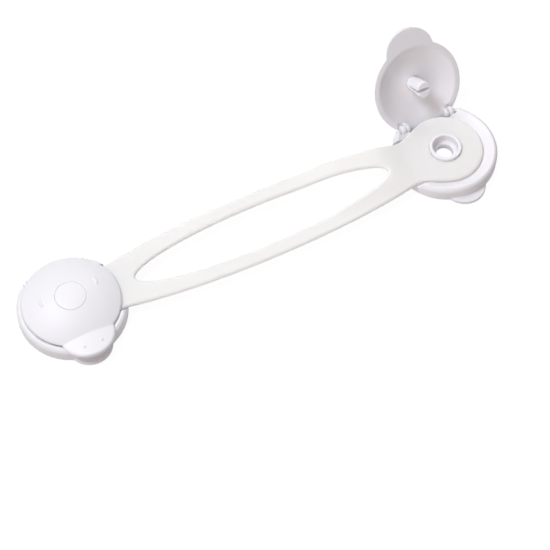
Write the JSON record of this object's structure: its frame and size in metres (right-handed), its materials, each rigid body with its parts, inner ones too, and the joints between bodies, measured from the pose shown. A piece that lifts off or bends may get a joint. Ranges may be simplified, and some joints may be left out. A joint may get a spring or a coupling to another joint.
{
  "type": "cabinet safety lock",
  "caption": "Stick-on child safety lock: round bases with flip-up lids and split snap pins, joined by a flat soft strap with a long oval loop.",
  "frame": {"origin": "centre of the bounding box on the surface that the heads are stuck to, half way along the strap", "axes": "+X along the strap from the shut head to the open head, -Y the side of the lids' bills, +Z away from the surface"},
  "size_m": [0.194, 0.0618, 0.0356],
  "materials": {
    "white_shell": "satin",
    "white_pin": "satin",
    "soft_strap": "matte translucent",
    "foam": "matte foam",
    "liner": "satin"
  },
  "bodies": {
    "right_base": {"right_base": "white_shell", "right_foam_pad": "foam", "right_release_liner": "liner"},
    "left_base": {"left_base": "white_shell", "strap": "soft_strap", "left_foam_pad": "foam", "left_release_liner": "liner"},
    "left_lid": {"left_lid": "white_shell", "left_snap_pin": "white_pin"},
    "right_lid": {"right_lid": "white_shell", "right_snap_pin": "white_pin"}
  },
  "joints": [
    {"name": "left_lid_hinge", "type": "hinge", "parent": "left_base", "child": "left_lid", "pos_m": [-0.077, 0.00719, 0.0049], "axis": [-1, 0, 0], "range_deg": [0, 124]},
    {"name": "right_lid_hinge", "type": "hinge", "parent": "right_base", "child": "right_lid", "pos_m": [0.077, 0.00719, 0.0049], "axis": [-1, 0, 0], "range_deg": [-124, 0]},
    {"name": "right_strap_end_lift", "type": "slide", "parent": "right_base", "child": "left_base", "axis": [0, 0, 1], "range_m": [0, 0.01]}
  ]
}
